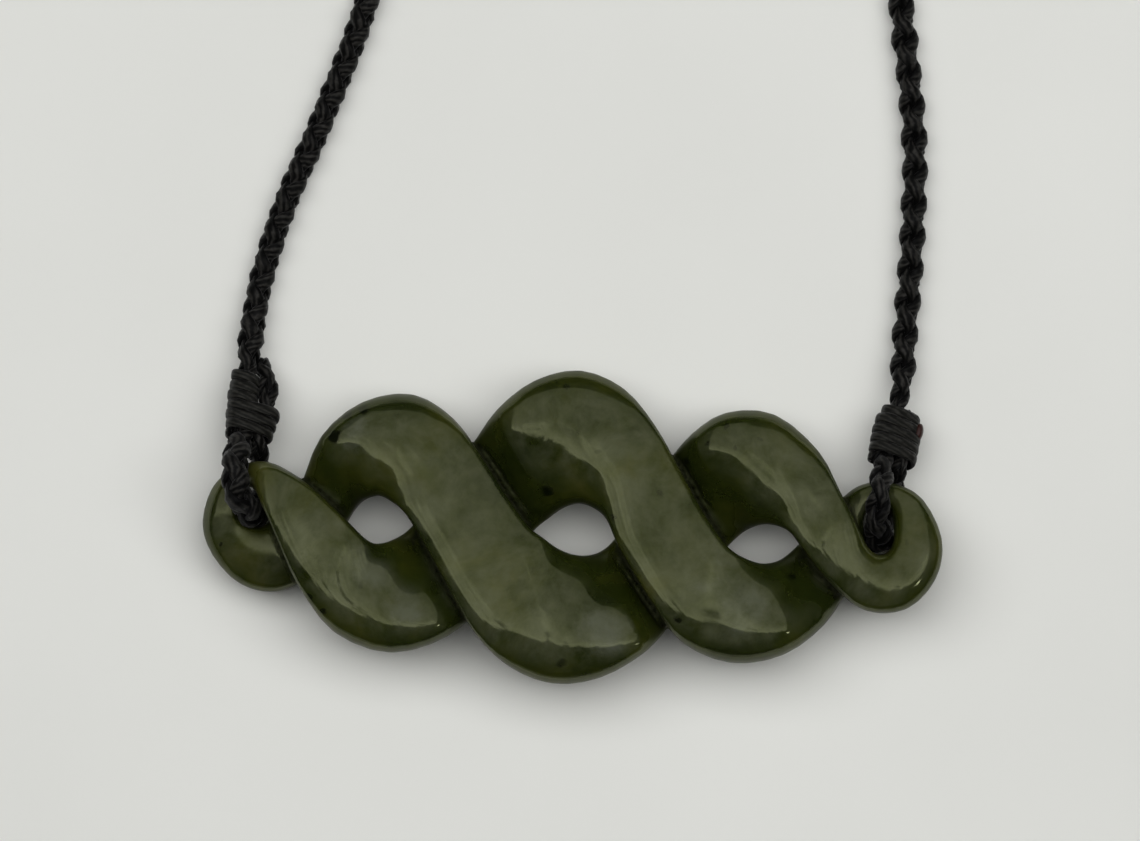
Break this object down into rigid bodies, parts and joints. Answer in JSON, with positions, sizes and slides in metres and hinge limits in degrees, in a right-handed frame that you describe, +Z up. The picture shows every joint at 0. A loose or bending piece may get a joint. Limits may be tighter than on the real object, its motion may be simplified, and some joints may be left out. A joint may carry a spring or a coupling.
{
  "type": "greenstone twist pendant necklace",
  "caption": "Carved greenstone twist with openwork crossings, tied at both ends to a plaited black neck cord with wound thread bindings.",
  "frame": {"origin": "on the surface that the necklace lies on, below the centre of the whole laid-out necklace", "axes": "+Z up off the surface, out of the polished face of the stone; +Y from the stone along the loop to the nape; +X along the stone, from its left eye to its right eye"},
  "size_m": [0.1181, 0.3018, 0.0096],
  "materials": {
    "greenstone": "polished",
    "plaited_cord": "waxed",
    "waxed_thread": "waxed"
  },
  "bodies": {
    "root": {"greenstone_twist": "greenstone", "neck_cord": "plaited_cord", "left_whipping": "waxed_thread", "right_whipping": "waxed_thread"}
  },
  "joints": []
}
